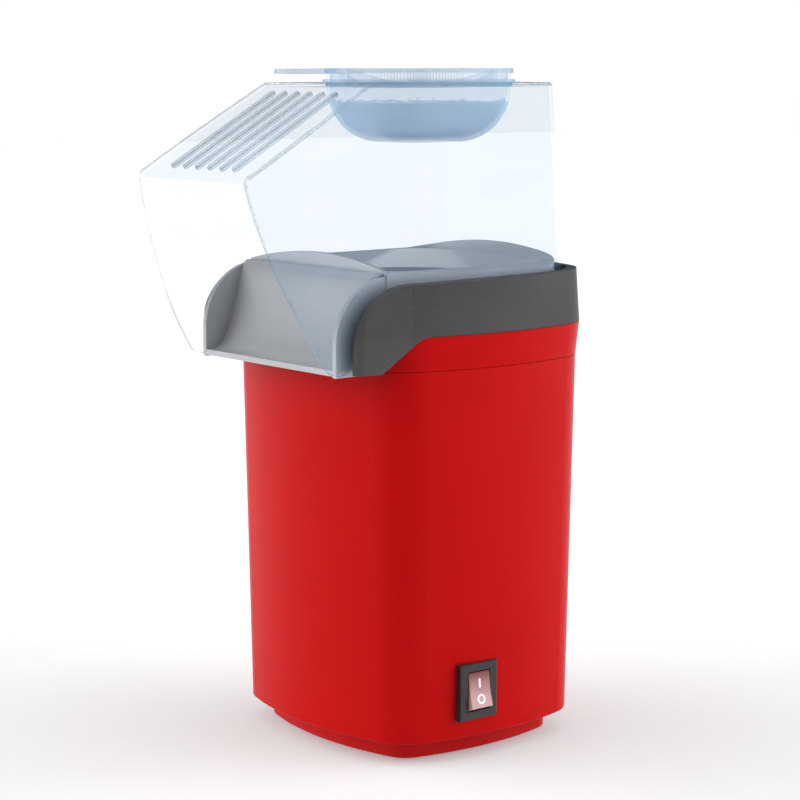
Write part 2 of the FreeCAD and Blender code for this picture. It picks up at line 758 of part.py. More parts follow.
def cover_profile():
    """Side view of the cover: roof, slope, bowed front edge, tongue and the edge that sits in the collar."""
    nose = cover_nose_y
    lower = cover_nose_z - 2.6
    tongue = cover_tongue_z
    hub = (arm_front_y + arm_arc_r, collar_top_z - arm_arc_r)
    seat_r = cover_seat_z - hub[1]
    rear = cover_top_rear_y + 20
    return [(rear, cover_seat_z), (rear, cover_top_z), (cover_top_front_y, cover_top_z),
            (nose + 2.4, cover_nose_z + 1.4), ((nose + 0.5, cover_nose_z - 0.2),), (nose, lower),
            ((nose + 10.6, (lower + tongue) / 2.0 + 5.0),), (cover_tongue_y - 6.4, tongue + 4.4),
            ((cover_tongue_y - 3.6, tongue + 1.2),), (cover_tongue_y, tongue),
            ((cover_tongue_y + 4.4, tongue + 1.0),), (cover_tongue_y + 7.0, tongue + 4.2),
            (hub[0] - seat_r, hub[1]), (quarter_point(hub, seat_r, 135),), (hub[0], cover_seat_z)]


def cover_hollow_profile():
    """Side view of the cover's inside, open at the front and underneath."""
    down, out = slope_direction()
    top = cover_top_z - cover_wall
    front = cover_nose_y - 20
    # the sloping ceiling is the slope moved inwards by the wall
    on_slope = vec(0, cover_nose_y, cover_nose_z) - out * cover_wall
    rise = down.z / down.y
    corner_y = on_slope.y + (top - on_slope.z) / rise
    front_z = on_slope.z + (front - on_slope.y) * rise
    rear = cover_top_rear_y + 20
    return [(rear, cover_tongue_z - 20), (rear, top), (corner_y, top), (front, front_z),
            (front, cover_tongue_z - 20)]


def make_cover():
    outer = cover_body(0.0).common(side_prism(cover_profile(), 90)).removeSplitter()
    down, out = slope_direction()
    edges = [e for e in outer.Edges if e.BoundBox.ZMin > cover_nose_z - 5]
    outer = outer.makeFillet(cover_edge_round, edges)
    inner = cover_body(cover_wall).common(side_prism(cover_hollow_profile(), 90))
    cover = outer.cut(inner)
    # vent slots run down the slope
    top = vec(0, cover_top_front_y, cover_top_z)
    length = (vec(0, cover_nose_y, cover_nose_z) - top).Length
    half = vent_width / 2.0
    start = top + down * (vent_margin + half)
    finish = top + down * (length - vent_margin - half)
    for i in range(vent_count):
        x = (i - (vent_count - 1) / 2.0) * vent_pitch
        side = vec(half, 0, 0)
        a = start + vec(x, 0, 0) - out * 5
        b = finish + vec(x, 0, 0) - out * 5
        outline = [a - side, (a - down * half,), a + side, b + side, (b + down * half,), b - side]
        slot = prism(outline, out * 10)
        cover = cover.cut(slot)
    hole = rounded_rectangle(cup_half_x + cup_hole_gap, cup_half_y + cup_hole_gap,
                             cup_corner_r + cup_hole_gap, cover_top_z - 5, cup_centre_y)
    return cover.cut(Part.Face(hole).extrude(vec(0, 0, 10)))


def cup_wire(share, z, inset=0.0):
    return rounded_rectangle(cup_half_x * share - inset, cup_half_y * share - inset,
                             cup_corner_r * share - inset, z, cup_centre_y)


def cup_bowl(inset, z_top):
    """Bowl of the cup: straight below the rim, then curving in to a small flat floor."""
    floor_z = cup_bottom_z + inset
    bend_z = cup_rim_z - cup_straight
    steps = 6
    wires = []
    for i in range(steps + 1):
        angle = math.radians(90.0 * i / steps)
        share = cup_floor_share + (1 - cup_floor_share) * math.sin(angle)
        z = bend_z - (bend_z - floor_z) * math.cos(angle)
        wires.append(cup_wire(share, z, inset))
    bowl = Part.makeLoft(wires, True, False)
    neck = Part.Face(cup_wire(1.0, bend_z, inset)).extrude(vec(0, 0, z_top - bend_z))
    return bowl.fuse(neck)


def make_cup():
    rim_low = cup_rim_z - cup_rim_thickness
    outer = cup_bowl(0.0, cup_rim_z)
    rim = Part.Face(cup_wire(1.0, rim_low, -cup_rim_lip)).extrude(vec(0, 0, cup_rim_thickness))
    step_z = cover_top_z + 0.05
    step = Part.Face(cup_wire(1.0, step_z, -cup_step_width)).extrude(vec(0, 0, 1.2))
    r = handle_width / 2.0
    root_y = cup_centre_y - cup_half_y + 4
    handle = prism([vec(r, root_y, rim_low), vec(-r, root_y, rim_low), vec(-r, handle_tip_y + r, rim_low),
                    (vec(0, handle_tip_y, rim_low),), vec(r, handle_tip_y + r, rim_low)],
                   vec(0, 0, cup_rim_thickness))
    cup = outer.fuse(rim).fuse(step).fuse(handle)
    return cup.cut(cup_bowl(cup_wall, cup_rim_z + 1)).removeSplitter()


def make_base():
    bottom = foot_height
    outer = housing_solid(bottom, housing_bottom_z + 0.5, plinth_inset)
    low = [e for e in outer.Edges if e.BoundBox.ZMax < bottom + 0.01]
    outer = outer.makeFillet(housing_edge_round, low)
    base = outer.cut(housing_solid(bottom + plinth_floor, housing_bottom_z + 1, plinth_inset + plinth_wall))
    # flange that closes the gap to the housing
    flange = housing_solid(housing_bottom_z, housing_bottom_z + plinth_floor, housing_wall + seam_gap)
    flange = flange.cut(housing_solid(housing_bottom_z - 1, housing_bottom_z + plinth_floor + 1,
                                      plinth_inset + plinth_wall))
    base = base.fuse(flange)
    pad_top = column_foot_z - seam_gap
    for x, y in four_ways(column_x, column_y):
        base = base.fuse(cylinder(screw_pad_r, pad_top - bottom, vec(x, y, bottom)))
        base = base.cut(cylinder(base_screw_r + screw_clearance, 10, vec(x, y, 0)))
        base = base.cut(cylinder(screw_head_r + 2 * screw_clearance, base_head_z - bottom, vec(x, y, bottom)))
    for x, y in four_ways(foot_x, foot_y):
        base = base.cut(cylinder(foot_r + 0.1, foot_socket, vec(x, y, bottom)))
    slot_reach = 24.0
    for i in range(intake_slot_rows):
        y = (i - (intake_slot_rows - 1) / 2.0) * intake_slot_pitch
        half = intake_slot_width / 2.0
        slot = prism([vec(-slot_reach, y - half, 0), vec(slot_reach, y - half, 0),
                      (vec(slot_reach + half, y, 0),), vec(slot_reach, y + half, 0),
                      vec(-slot_reach, y + half, 0), (vec(-slot_reach - half, y, 0),)],
                     vec(0, 0, 8))
        base = base.cut(slot)
    return base


def make_feet():
    feet = []
    for x, y in four_ways(foot_x, foot_y):
        foot = cylinder(foot_r, foot_height + foot_socket, vec(x, y, 0))
        rim = [e for e in foot.Edges if e.BoundBox.ZMax < 0.01]
        feet.append(foot.makeFillet(0.4, rim))
    return Part.makeCompound(feet)


def make_base_screws():
    screws = [screw(x, y, base_head_z, False, base_screw_r, base_screw_length,
                    screw_head_r, screw_head_height)
              for x, y in four_ways(column_x, column_y)]
    return Part.makeCompound(screws)


def make_chamber():
    r = chamber_r
    wall = chamber_wall
    body = cylinder(r + wall, chamber_top_z - chamber_floor_z, vec(0, 0, chamber_floor_z))
    low = [e for e in body.Edges if e.BoundBox.ZMax < chamber_floor_z + 0.01]
    body = body.makeFillet(5.0, low)
    inside = cylinder(r, chamber_top_z - chamber_floor_z + 2, vec(0, 0, chamber_floor_z + wall))
    low = [e for e in inside.Edges if e.BoundBox.ZMax < chamber_floor_z + wall + 0.01]
    inside = inside.makeFillet(4.0, low)
    flange = cylinder(chamber_flange_r, chamber_flange, vec(0, 0, chamber_top_z - chamber_flange))
    for x, y in on_circle(ear_circle_r, 4, 45):
        flange = flange.fuse(cylinder(ear_r, chamber_flange, vec(x, y, chamber_top_z - chamber_flange)))
    chamber = body.fuse(flange).cut(inside)
    for x, y in on_circle(ear_circle_r, 4, 45):
        chamber = chamber.cut(cylinder(chamber_screw_r + screw_clearance, 10, vec(x, y, chamber_top_z - 5)))
    # a raised cone in the middle of the floor turns the kernels outwards
    cone = Part.makeCone(16.0, 2.0, 7.0, vec(0, 0, chamber_floor_z + wall))
    chamber = chamber.fuse(cone)
    # louvres through the lower wall, set at a slant so that the air swirls
    for i in range(louvre_count):
        slot = block(r - 3, r + 4, -louvre_width / 2.0, louvre_width / 2.0, chamber_floor_z + 6,
                     chamber_floor_z + 6 + louvre_height)
        slot.rotate(vec(r, 0, 0), up, 40)
        slot.rotate(vec(0, 0, 0), up, 360.0 * i / louvre_count)
        chamber = chamber.cut(slot)
    return chamber


def make_gasket():
    ring = tube(chamber_flange_r - 0.4, throat_r + 0.3, gasket_bottom_z, deck_bottom_z)
    return ring


def make_chamber_screws():
    head_z = shroud_top_z - shroud_wall
    return Part.makeCompound([screw(x, y, head_z, False, chamber_screw_r, chamber_screw_length,
                                    screw_head_r - 0.4, screw_head_height - 0.3)
                              for x, y in on_circle(ear_circle_r, 4, 45)])


def make_shroud():
    body = tube(shroud_r + shroud_wall, shroud_r, shroud_bottom_z, shroud_top_z)
    low_flange = tube(shroud_r + 0.1, bracket_ring_r - bracket_ring_width, shroud_bottom_z,
                      shroud_bottom_z + shroud_wall)
    top_flange = tube(chamber_flange_r, shroud_r, shroud_top_z - shroud_wall, shroud_top_z)
    shroud = body.fuse(low_flange).fuse(top_flange)
    for x, y in on_circle(ear_circle_r, 4, 45):
        ear = cylinder(ear_r, shroud_wall, vec(x, y, shroud_top_z - shroud_wall))
        ear = ear.cut(cylinder(shroud_r, 4, vec(0, 0, shroud_top_z - 2)))
        shroud = shroud.fuse(ear)
        shroud = shroud.cut(cylinder(chamber_screw_r + screw_clearance, 4, vec(x, y, shroud_top_z - 2)))
    for x, y in on_circle(bracket_screw_circle_r, 3, 90):
        shroud = shroud.cut(cylinder(base_screw_r + press_gap, 4, vec(x, y, shroud_bottom_z - 1)))
    return shroud


def make_liner():
    liner = tube(liner_r + liner_wall, liner_r, liner_bottom_z, liner_top_z)
    slot_half = mica_thickness / 2.0 + 0.15
    for turn in (0, 90):
        notch_top = liner_bottom_z + mica_foot_height + 0.2
        notch = block(-60, 60, -slot_half, slot_half, liner_bottom_z - 1, notch_top)
        notch.rotate(vec(0, 0, 0), up, turn)
        liner = liner.cut(notch)
    return liner


def mica_top_z():
    return coil_bottom_z + coil_turns * coil_pitch + mica_above_coil


def make_mica_plate(turn, slot_upwards):
    """One of two crossed plates. The coil is wound round them and their feet reach the shroud."""
    half = coil_r - coil_wire_r - 0.1
    t = mica_thickness / 2.0
    top = mica_top_z()
    plate = block(-half, half, -t, t, liner_bottom_z, top)
    foot = block(-(shroud_r - 0.1), shroud_r - 0.1, -t, t, liner_bottom_z, liner_bottom_z + mica_foot_height)
    plate = plate.fuse(foot)
    middle = (liner_bottom_z + top) / 2.0
    slot_half = t + 0.05
    if slot_upwards:
        plate = plate.cut(block(-slot_half, slot_half, -t - 1, t + 1, middle, top + 1))
    else:
        plate = plate.cut(block(-slot_half, slot_half, -t - 1, t + 1, liner_bottom_z - 1, middle))
    plate.rotate(vec(0, 0, 0), up, turn)
    return plate


def make_coil():
    height = coil_turns * coil_pitch
    helix = Part.makeHelix(coil_pitch, height, coil_r)
    helix.translate(vec(0, 0, coil_bottom_z))
    circle = Part.Wire(Part.makeCircle(coil_wire_r, vec(coil_r, 0, coil_bottom_z), vec(0, 1, 0.025)))
    return Part.Wire(helix).makePipeShell([circle], True, True)


def make_thermostat():
    """Bimetal thermostat in a bracket on the outside of the shroud."""
    z = liner_top_z - 8.0
    y0 = -(shroud_r + shroud_wall)
    body = cylinder(6.0, 5.0, vec(0, y0 - 6.0, z), vec(0, 1, 0))
    plate = block(-10.0, 10.0, y0 - 1.0, y0 - 0.2, z - 6.0, z + 6.0)
    tabs = block(-5.0, -3.4, y0 - 10.5, y0 - 5.5, z - 2.0, z + 2.0)
    tabs = tabs.fuse(block(3.4, 5.0, y0 - 10.5, y0 - 5.5, z - 2.0, z + 2.0))
    return body.fuse(plate).fuse(tabs)


def make_thermal_fuse():
    """Thermal cut-out that lies in the air stream above the coil."""
    z = (mica_top_z() + chamber_floor_z) / 2.0
    body = cylinder(fuse_r, fuse_length, vec(-fuse_length / 2.0, fuse_y, z), vec(1, 0, 0))
    lead = cylinder(fuse_lead_r, fuse_span, vec(-fuse_span / 2.0, fuse_y, z), vec(1, 0, 0))
    return body.fuse(lead)


def make_fan():
    fan = cylinder(fan_r, fan_plate, vec(0, 0, fan_bottom_z))
    fan = fan.fuse(cylinder(fan_hub_r, fan_height - 2, vec(0, 0, fan_bottom_z)))
    t = fan_blade_thickness / 2.0
    for i in range(fan_blades):
        inner = fan_hub_r + 1.5
        a = vec(inner, -t, fan_bottom_z)
        b = vec(fan_r - 1.0, -t - 9.0, fan_bottom_z)
        mid = vec((inner + fan_r) / 2.0, -t - 1.6, fan_bottom_z)
        thick = vec(0, 2 * t, 0)
        blade = prism([a, (mid,), b, b + thick, (mid + thick,), a + thick], vec(0, 0, fan_height))
        blade.rotate(vec(0, 0, 0), up, 360.0 * i / fan_blades)
        fan = fan.fuse(blade)
    root = cylinder(fan_hub_r + 2.5, 3.0, vec(0, 0, fan_bottom_z))
    fan = fan.fuse(root)
    return fan.cut(cylinder(shaft_r + press_gap, fan_height + 4, vec(0, 0, fan_bottom_z - 1)))


def make_shaft():
    return cylinder(shaft_r, shaft_top_z - shaft_bottom_z, vec(0, 0, shaft_bottom_z))


def armature_middle():
    return (motor_bottom_z + motor_top_z) / 2.0 + 1.0


def make_armature():
    """Laminated core with three slots between its poles."""
    z0 = armature_middle() - armature_half_height
    core = cylinder(armature_r, 2 * armature_half_height, vec(0, 0, z0))
    for i in range(3):
        slot = block(5.0, armature_r + 1, -1.5, 1.5, z0 - 1, z0 + 2 * armature_half_height + 1)
        slot.rotate(vec(0, 0, 0), up, 120.0 * i)
        core = core.cut(slot)
    return core.cut(cylinder(shaft_r + press_gap, 60, vec(0, 0, z0 - 5)))


def make_commutator():
    z0 = motor_bottom_z + 1.5
    return tube(4.2, shaft_r + press_gap, z0, z0 + 6.0)


def make_brushes():
    z0 = motor_bottom_z + 3.0
    brushes = []
    for side in (-1, 1):
        x0, x1 = sorted((side * 4.35, side * 9.0))
        brush = block(x0, x1, -1.8, 1.8, z0, z0 + 3.0)
        brushes.append(brush)
    return Part.makeCompound(brushes)


def make_motor_can():
    body = cylinder(motor_r, motor_top_z - motor_bottom_z, vec(0, 0, motor_bottom_z))
    top = [e for e in body.Edges if e.BoundBox.ZMin > motor_top_z - 0.01]
    body = body.makeFillet(0.9, top)
    boss = cylinder(motor_boss_r, motor_boss_height, vec(0, 0, motor_top_z))
    inside = cylinder(motor_r - motor_can_wall, motor_top_z - motor_bottom_z - motor_can_wall + 1,
                      vec(0, 0, motor_bottom_z - 1))
    pocket = cylinder(bush_r() + press_gap, motor_boss_height + motor_can_wall + 1,
                      vec(0, 0, motor_top_z - motor_can_wall - 1))
    can = body.fuse(boss).cut(inside).cut(pocket)
    for x, y in on_circle(11.0, 2, 0):
        can = can.cut(cylinder(base_screw_r + press_gap, 6, vec(x, y, motor_top_z - 4)))
    return can


def bush_r():
    return shaft_r + 1.9


def make_magnets():
    r_out = motor_r - motor_can_wall - press_gap
    ring = tube(r_out, r_out - magnet_thickness, armature_middle() - armature_half_height - 1,
                armature_middle() + armature_half_height + 1)
    gap = block(-40, 40, -5.0, 5.0, 0, 100)
    return ring.cut(gap)


def make_end_cap():
    z0 = motor_bottom_z - end_cap_height
    cap = cylinder(motor_r, end_cap_height, vec(0, 0, z0))
    cap = cap.fuse(cylinder(motor_r - motor_can_wall - 0.1, 1.2, vec(0, 0, motor_bottom_z)))
    cap = cap.cut(cylinder(bush_r() + press_gap, end_cap_height + 2, vec(0, 0, z0 + 0.6)))
    terminals = block(-1.5, 1.5, 10.0, 10.8, z0 - 3.2, z0)
    terminals = terminals.fuse(block(-1.5, 1.5, -10.8, -10.0, z0 - 3.2, z0))
    return cap.fuse(terminals)


def make_bushes():
    low = tube(bush_r(), shaft_r + running_gap, motor_bottom_z - end_cap_height + 0.7, motor_bottom_z + 1.0)
    top = motor_top_z + motor_boss_height
    high = tube(bush_r(), shaft_r + running_gap, motor_top_z - motor_can_wall + 0.1, top - 0.2)
    return Part.makeCompound([low, high])


def make_bracket():
    """Three-armed bracket that hangs the motor from the shroud."""
    z0 = motor_top_z
    z1 = z0 + bracket_thickness
    ring = tube(bracket_ring_r, bracket_ring_r - bracket_ring_width, z0, z1)
    plate = cylinder(motor_r - 1.0, bracket_thickness, vec(0, 0, z0))
    bracket = ring.fuse(plate)
    for i in range(3):
        arm = block(0, bracket_ring_r - 1.0, -4.0, 4.0, z0, z1)
        arm.rotate(vec(0, 0, 0), up, 90 + 120.0 * i)
        bracket = bracket.fuse(arm)
    bracket = bracket.cut(cylinder(motor_boss_r + 0.15, 10, vec(0, 0, z0 - 2)))
    for x, y in on_circle(11.0, 2, 0):
        bracket = bracket.cut(cylinder(base_screw_r + screw_clearance, 6, vec(x, y, z0 - 2)))
    for x, y in on_circle(bracket_screw_circle_r, 3, 90):
        bracket = bracket.cut(cylinder(base_screw_r + screw_clearance, 6, vec(x, y, z0 - 2)))
    return bracket


def make_grommets():
    z0 = motor_top_z + bracket_thickness
    rings = []
    for x, y in on_circle(bracket_screw_circle_r, 3, 90):
        ring = cylinder(grommet_r, shroud_bottom_z - z0, vec(x, y, z0))
        rings.append(ring.cut(cylinder(base_screw_r + 0.1, 10, vec(x, y, z0 - 2))))
    return Part.makeCompound(rings)


def make_bracket_screws():
    return Part.makeCompound([screw(x, y, motor_top_z, False, base_screw_r, 5.5, screw_head_r - 0.4,
                                    screw_head_height - 0.3)
                              for x, y in on_circle(bracket_screw_circle_r, 3, 90)])


def make_motor_screws():
    return Part.makeCompound([screw(x, y, motor_top_z + bracket_thickness, True, base_screw_r, 4.0,
                                    screw_head_r - 0.4, screw_head_height - 0.3)
                              for x, y in on_circle(11.0, 2, 0)])


def board_z():
    return motor_bottom_z - end_cap_height - 4.6


def make_board():
    board = cylinder(16.0, 1.4, vec(0, 0, board_z()))
    for side in (-1, 1):
        slot_y = side * 10.4
        board = board.cut(block(-1.6, 1.6, slot_y - 0.6, slot_y + 0.6, board_z() - 1, board_z() + 3))
    return board


def make_diodes():
    diodes = []
    z = board_z() + 1.4 + 1.5
    for x, y in ((-9.0, 3.5), (-9.0, -3.5), (9.0, 3.5), (9.0, -3.5)):
        body = cylinder(1.4, 5.0, vec(x, y - 2.5, z), vec(0, 1, 0))
        lead = cylinder(0.4, 6.6, vec(x, y - 3.3, z), vec(0, 1, 0))
        leg_a = cylinder(0.4, 1.5, vec(x, y - 2.9, z - 1.5))
        leg_b = cylinder(0.4, 1.5, vec(x, y + 2.9, z - 1.5))
        diodes.append(body.fuse(lead).fuse(leg_a).fuse(leg_b))
    return Part.makeCompound(diodes)


def switch_place(shape):
    """Move a switch piece from its own frame, x out of the housing, to its place on the side."""
    shape = shape.copy()
    shape.translate(vec(side_face_x(switch_y, switch_z), switch_y, switch_z))
    return shape


def pivot_x():
    return switch_proud - rocker_crest + 0.6


def make_switch_housing():
    depth = switch_body_depth
    half_w = switch_width / 2.0
    half_h = switch_height / 2.0
    body_w = switch_body_width / 2.0
    body_h = switch_body_height / 2.0
    back = 0.9
    bezel = block(-bezel_skirt, switch_proud, -half_w, half_w, -half_h, half_h)
    front = [e for e in bezel.Edges if e.BoundBox.XMin > switch_proud - 0.01]
    bezel = bezel.makeFillet(0.5, front)
    body = block(-depth, 1.0, -body_w, body_w, -body_h, body_h)
    shell = bezel.fuse(body)
    window_w = rocker_width / 2.0 + rocker_window_gap
    window_h = rocker_r + rocker_window_gap
    window = block(switch_body_wall - depth, switch_proud + 5, -window_w, window_w, -window_h, window_h)
    shell = shell.cut(window)
    pin = cylinder(rocker_pin_r + press_gap, 30, vec(pivot_x(), -15, 0), vec(0, 1, 0))
    keep = block(-depth, back, -body_w, body_w, -body_h, body_h)
    shell = switch_place(shell.cut(pin.common(keep)))
    # outside the wall's opening the bezel rests on the bowed wall
    wall = housing_solid(housing_bottom_z, housing_top_z, -bezel_seat_gap)
    passage = switch_place(block(-depth - 1, switch_proud, -body_w, body_w, -body_h, body_h))
    return shell.cut(wall.cut(passage))


def make_rocker():
    """Rocker in its rest position, its upper end pressed in."""
    x0 = pivot_x()
    r = rocker_r
    half = rocker_width / 2.0
    body = cylinder(r, rocker_width, vec(x0, -half, 0), vec(0, 1, 0))
    keep = [vec(x0 - 5.0, -half, -r - 1), vec(x0 - 5.0, -half, r + 1), vec(x0 + rocker_end, -half, r + 1),
            vec(x0 + rocker_end, -half, r * 0.8), vec(x0 + rocker_crest, -half, 0),
            vec(x0 + rocker_end, -half, -r * 0.8), vec(x0 + rocker_end, -half, -r - 1)]
    body = body.common(prism(keep, vec(0, rocker_width, 0)))
    pin_hole = cylinder(rocker_pin_r + running_gap, rocker_width + 2, vec(x0, -half - 1, 0), vec(0, 1, 0))
    body = body.cut(pin_hole)
    body.rotate(vec(x0, 0, 0), vec(0, 1, 0), -rocker_tilt)
    return switch_place(body)


def make_switch_pin():
    half = switch_body_width / 2.0
    return switch_place(cylinder(rocker_pin_r, 2 * half, vec(pivot_x(), -half, 0), vec(0, 1, 0)))


def make_switch_terminals():
    x1 = -switch_body_depth
    tabs = [block(x1 - 7.0, x1, -2.4, 2.4, z - 0.4, z + 0.4) for z in (-6.0, 0.0, 6.0)]
    return switch_place(Part.makeCompound(tabs))


def rear_face_y(x, z):
    grow = draft_per_mm * (z - housing_bottom_z)
    bow = side_bow_r + grow
    return housing_half_y + grow - bow + math.sqrt(bow ** 2 - x ** 2)


def make_gland():
    y = rear_face_y(0, gland_z)
    axis = vec(0, 1, 0)
    body = cylinder(gland_body_r, gland_inner_length + 1, vec(0, y - gland_inner_length, gland_z), axis)
    flange = cylinder(gland_flange_r, gland_flange, vec(0, y + gland_seat_gap, gland_z), axis)
    rim = [e for e in flange.Edges if e.BoundBox.YMin > y + gland_flange]
    flange = flange.makeFillet(0.8, rim)
    nut_y = y - housing_wall - gland_nut - gland_seat_gap
    nut = cylinder(gland_nut_r, gland_nut, vec(0, nut_y, gland_z), axis)
    whole = body.fuse(flange).fuse(nut)
    return whole.cut(cylinder(gland_bore_r, 40, vec(0, y - 20, gland_z), axis))


def rounded_path(points, r):
    """Wire of straight runs joined by arcs of radius r."""
    edges = []
    here = points[0]
    for before, corner, after in zip(points, points[1:], points[2:]):
        a = before - corner
        b = after - corner
        a.normalize()
        b.normalize()
        half = a.getAngle(b) / 2.0
        cut = r / math.tan(half)
        start = corner + a * cut
        finish = corner + b * cut
        inward = a + b
        inward.normalize()
        middle = corner + inward * (r / math.sin(half) - r)
        edges.append(line(here, start))
        edges.append(arc(start, middle, finish))
        here = finish
    edges.append(line(here, points[-1]))
    return Part.Wire(edges)


def make_lead_wires():
    """Two leads inside the housing: from the switch to the rectifier board and up to the thermostat."""
    face = side_face_x(switch_y, switch_z)
    tab_x = face - switch_body_depth - 7.0
    low_z = switch_z - 6.0
    board_edge = vec(14.5, -4.0, board_z() + 1.4 + wire_r)
    lead_a = [vec(tab_x - 0.6, switch_y, low_z), vec(tab_x - 6.0, switch_y, low_z),
              vec(tab_x - 9.0, switch_y + 2.0, board_edge.z + 5.0),
              vec(board_edge.x + 6.0, -6.0, board_edge.z),
              board_edge]
    z_top = liner_top_z - 8.0
    reach_y = -(shroud_r + shroud_wall) - 10.5
    high_z = switch_z + 6.0
    lead_b = [vec(tab_x - 0.6, switch_y, high_z), vec(tab_x - 5.0, switch_y - 2.0, high_z),
              vec(tab_x - 6.0, switch_y - 24.0, high_z + 8.0), vec(16.0, reach_y + 2.0, z_top - 30.0),
              vec(4.2, reach_y + 1.0, z_top - 12.0), vec(4.2, reach_y + 1.0, z_top - 2.2)]
    wires = []
    for points in (lead_a, lead_b):
        path = rounded_path(points, 2.2)
        way = points[1] - points[0]
        circle = Part.Wire(Part.makeCircle(wire_r, points[0], way))
        wires.append(path.makePipeShell([circle], True, True))
    return Part.makeCompound(wires)


def run():
    os.makedirs("parts", exist_ok=True)
    pieces = {
        "housing_shell": make_housing, "upper_band": make_band, "collar": make_collar,
        "funnel_chute": make_funnel_chute, "clear_cover": make_cover, "measuring_cup": make_cup,
        "base_plate": make_base, "rubber_feet": make_feet, "base_screws": make_base_screws,
        "popping_chamber": make_chamber, "chamber_gasket": make_gasket, "chamber_screws": make_chamber_screws,
        "heat_shroud": make_shroud, "mica_liner": make_liner, "heating_coil": make_coil,
        "mica_plate_a": lambda: make_mica_plate(0, True), "mica_plate_b": lambda: make_mica_plate(90, False),
        "thermostat": make_thermostat, "thermal_fuse": make_thermal_fuse,
        "fan_impeller": make_fan, "motor_shaft": make_shaft, "motor_armature": make_armature,
        "commutator": make_commutator, "motor_brushes": make_brushes, "motor_can": make_motor_can,
        "motor_magnets": make_magnets, "motor_end_cap": make_end_cap, "motor_bushes": make_bushes,
        "motor_bracket": make_bracket, "bracket_grommets": make_grommets,
        "bracket_screws": make_bracket_screws, "motor_screws": make_motor_screws,
        "rectifier_board": make_board, "rectifier_diodes": make_diodes,
        "switch_housing": make_switch_housing, "switch_rocker": make_rocker, "switch_pin": make_switch_pin,
        "switch_terminals": make_switch_terminals, "cord_gland": make_gland, "lead_wires": make_lead_wires,
    }
    for name, make in pieces.items():
        save(name, make())


run()
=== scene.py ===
import bmesh
import bpy
import math
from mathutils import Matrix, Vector
from mathutils.bvhtree import BVHTree


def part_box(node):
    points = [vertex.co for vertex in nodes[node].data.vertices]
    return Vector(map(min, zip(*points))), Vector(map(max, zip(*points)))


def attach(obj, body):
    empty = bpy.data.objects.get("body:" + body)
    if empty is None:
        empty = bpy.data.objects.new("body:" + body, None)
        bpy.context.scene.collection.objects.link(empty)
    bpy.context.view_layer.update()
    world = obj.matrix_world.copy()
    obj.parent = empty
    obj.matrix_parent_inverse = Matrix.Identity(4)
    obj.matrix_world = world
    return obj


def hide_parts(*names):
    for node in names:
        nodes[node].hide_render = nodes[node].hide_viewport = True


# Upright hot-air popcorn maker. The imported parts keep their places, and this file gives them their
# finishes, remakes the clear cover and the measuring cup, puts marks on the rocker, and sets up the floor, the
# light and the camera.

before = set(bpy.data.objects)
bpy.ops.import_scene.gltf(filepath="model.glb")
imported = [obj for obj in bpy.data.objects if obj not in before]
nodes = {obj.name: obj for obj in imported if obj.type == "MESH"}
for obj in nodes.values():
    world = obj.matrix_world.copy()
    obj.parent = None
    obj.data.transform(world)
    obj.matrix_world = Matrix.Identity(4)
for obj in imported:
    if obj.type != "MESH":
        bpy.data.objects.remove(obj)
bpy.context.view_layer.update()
scene = bpy.context.scene


# ---- node helpers ----

def newMaterial(name):
    mat = bpy.data.materials.new(name)
    mat.use_nodes = True
    tree = mat.node_tree
    shader = tree.nodes["Principled BSDF"]
    return mat, tree, shader


def addNode(tree, kind, inputs=None, **settings):
    node = tree.nodes.new(kind)
    for key, value in settings.items():
        setattr(node, key, value)
    for key, value in (inputs or {}).items():
        if isinstance(value, bpy.types.NodeSocket):
            tree.links.new(value, node.inputs[key])
        else:
            node.inputs[key].default_value = value
    return node


def objectCoords(tree):
    return addNode(tree, "ShaderNodeTexCoord").outputs["Object"]


def noiseOn(tree, coords, scale, detail=4.0, roughness=0.55):
    return addNode(tree, "ShaderNodeTexNoise", {"Vector": coords, "Scale": scale, "Detail": detail,
                                                "Roughness": roughness}).outputs["Fac"]


def spread(tree, value, low, high, fromLow=0.35, fromHigh=0.65):
    return addNode(tree, "ShaderNodeMapRange", {"Value": value, "From Min": fromLow, "From Max": fromHigh,
                                                "To Min": low, "To Max": high}).outputs["Result"]


def mixColours(tree, fac, a, b):
    mix = addNode(tree, "ShaderNodeMix", data_type="RGBA")
    for socket, value in ((mix.inputs[0], fac), (mix.inputs[6], a), (mix.inputs[7], b)):
        if isinstance(value, bpy.types.NodeSocket):
            tree.links.new(value, socket)
        else:
            socket.default_value = value
    return mix.outputs[2]


def bumpFrom(tree, heights, distance, strength=1.0):
    last = None
    for height, share in heights:
        inputs = {"Height": height, "Distance": distance * share, "Strength": strength}
        if last is not None:
            inputs["Normal"] = last
        last = addNode(tree, "ShaderNodeBump", inputs).outputs["Normal"]
    return last


def rgba(colour):
    return (colour[0], colour[1], colour[2], 1.0)


# ---- finishes ----

